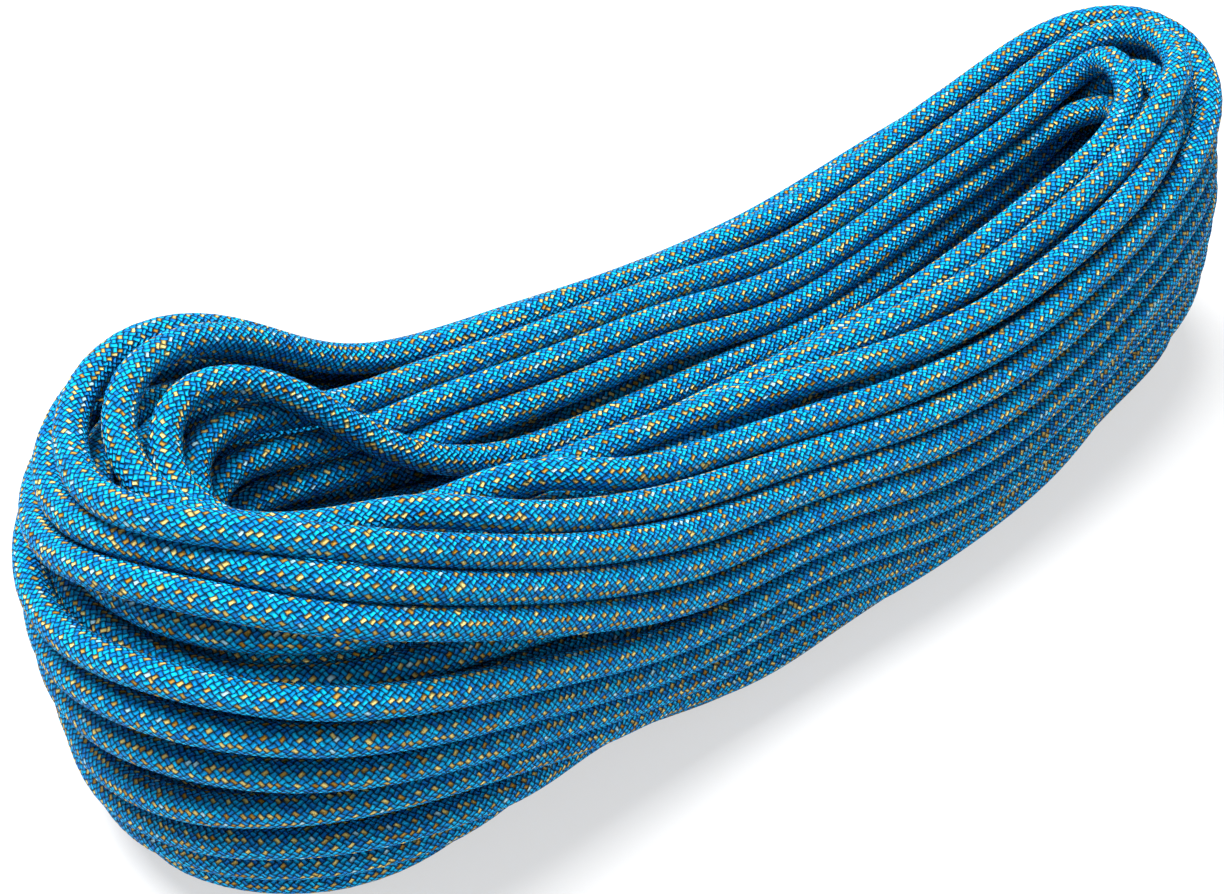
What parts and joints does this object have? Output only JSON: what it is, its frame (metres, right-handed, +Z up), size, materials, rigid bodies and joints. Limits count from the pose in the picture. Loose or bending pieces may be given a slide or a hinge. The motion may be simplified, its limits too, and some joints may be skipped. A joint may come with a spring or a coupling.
{
  "type": "dynamic climbing rope",
  "caption": "Stretchy braided climbing rope wound into a long oval hank, resting on one side, with its two finished ends lying behind it.",
  "frame": {"origin": "on the ground under the middle of the rope's box", "axes": "+X along the hank towards its tight end, +Y towards its far run where the rope's ends lie, +Z up"},
  "size_m": [0.4592, 0.1802, 0.1496],
  "materials": {
    "braided_sheath": "tight blue braid with gold, cream and grey flecks, satin sheen",
    "shaded_sheath": "the same braid, inside the hank",
    "core_yarn_white": "undyed twisted polyamide yarn",
    "core_yarn_tinted": "pale tinted twisted polyamide yarn",
    "melted_polyamide": "hot-cut, smooth and slightly uneven",
    "shrink_sleeve": "satin shrink tube, blank"
  },
  "bodies": {
    "root": {"core_strand_a_01": "core_yarn_tinted", "core_strand_a_02": "core_yarn_white", "core_strand_a_03": "core_yarn_tinted", "core_strand_a_04": "core_yarn_white", "core_strand_a_05": "core_yarn_tinted", "core_strand_a_06": "core_yarn_white", "core_strand_a_07": "core_yarn_tinted", "core_strand_a_08": "core_yarn_white", "core_strand_a_09": "core_yarn_tinted", "core_strand_a_10": "core_yarn_white", "core_strand_a_11": "core_yarn_tinted", "core_strand_a_12": "core_yarn_white", "core_strand_b_01": "core_yarn_tinted", "core_strand_b_02": "core_yarn_white", "core_strand_b_03": "core_yarn_tinted", "core_strand_b_04": "core_yarn_white", "core_strand_b_05": "core_yarn_tinted", "core_strand_b_06": "core_yarn_white", "core_strand_b_07": "core_yarn_tinted", "core_strand_b_08": "core_yarn_white", "core_strand_b_09": "core_yarn_tinted", "core_strand_b_10": "core_yarn_white", "core_strand_b_11": "core_yarn_tinted", "core_strand_b_12": "core_yarn_white", "rope_end_a_melted_tip": "melted_polyamide", "rope_end_a_sheath": "braided_sheath", "rope_end_a_sleeve": "shrink_sleeve", "rope_end_b_melted_tip": "melted_polyamide", "rope_end_b_sheath": "braided_sheath", "rope_end_b_sleeve": "shrink_sleeve", "rope_inner_turns": "shaded_sheath", "rope_outer_turns": "braided_sheath"}
  },
  "joints": []
}
